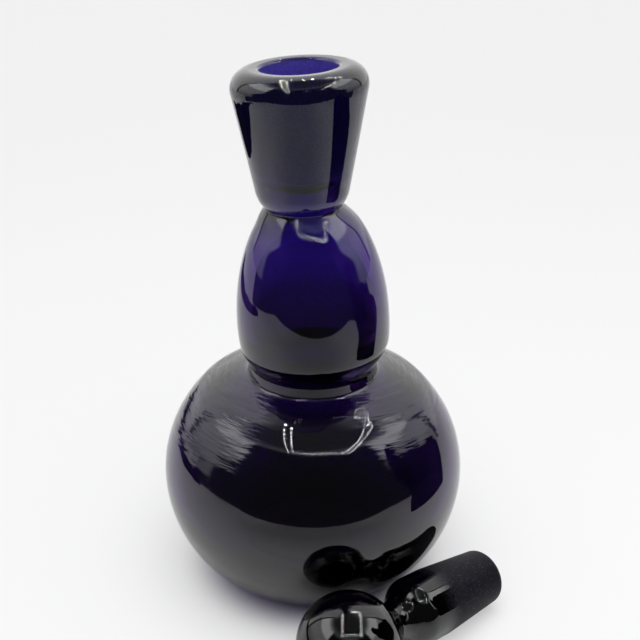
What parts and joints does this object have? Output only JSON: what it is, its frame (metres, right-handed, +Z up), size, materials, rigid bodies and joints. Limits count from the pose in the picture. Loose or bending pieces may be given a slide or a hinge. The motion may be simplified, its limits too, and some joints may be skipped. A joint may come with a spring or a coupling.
{
  "type": "glass bottle with stopper",
  "caption": "Hand-blown dark blue glass bottle with a round body, egg-shaped bulb, flared neck and ground mouth, with its ball-topped glass stopper lying beside it.",
  "frame": {"origin": "centre of the base ring, on the plane that the bottle and the stopper rest on", "axes": "+Z up along the round body's axis; the front, towards the lying stopper, is -Y; +X is to the right seen from the front"},
  "size_m": [0.1231, 0.1418, 0.19],
  "materials": {
    "bottle_glass": "fire-polished, with a ground mouth socket",
    "stopper_glass": "polished ball and shoulder, with a ground plug"
  },
  "bodies": {
    "bottle": {"bottle": "bottle_glass"},
    "stopper": {"stopper": "stopper_glass"}
  },
  "joints": [
    {"name": "stopper_lift", "type": "slide", "parent": "bottle", "child": "stopper", "axis": [0.4602, -0.5369, 0.7071], "range_m": [0, 0.2]}
  ]
}
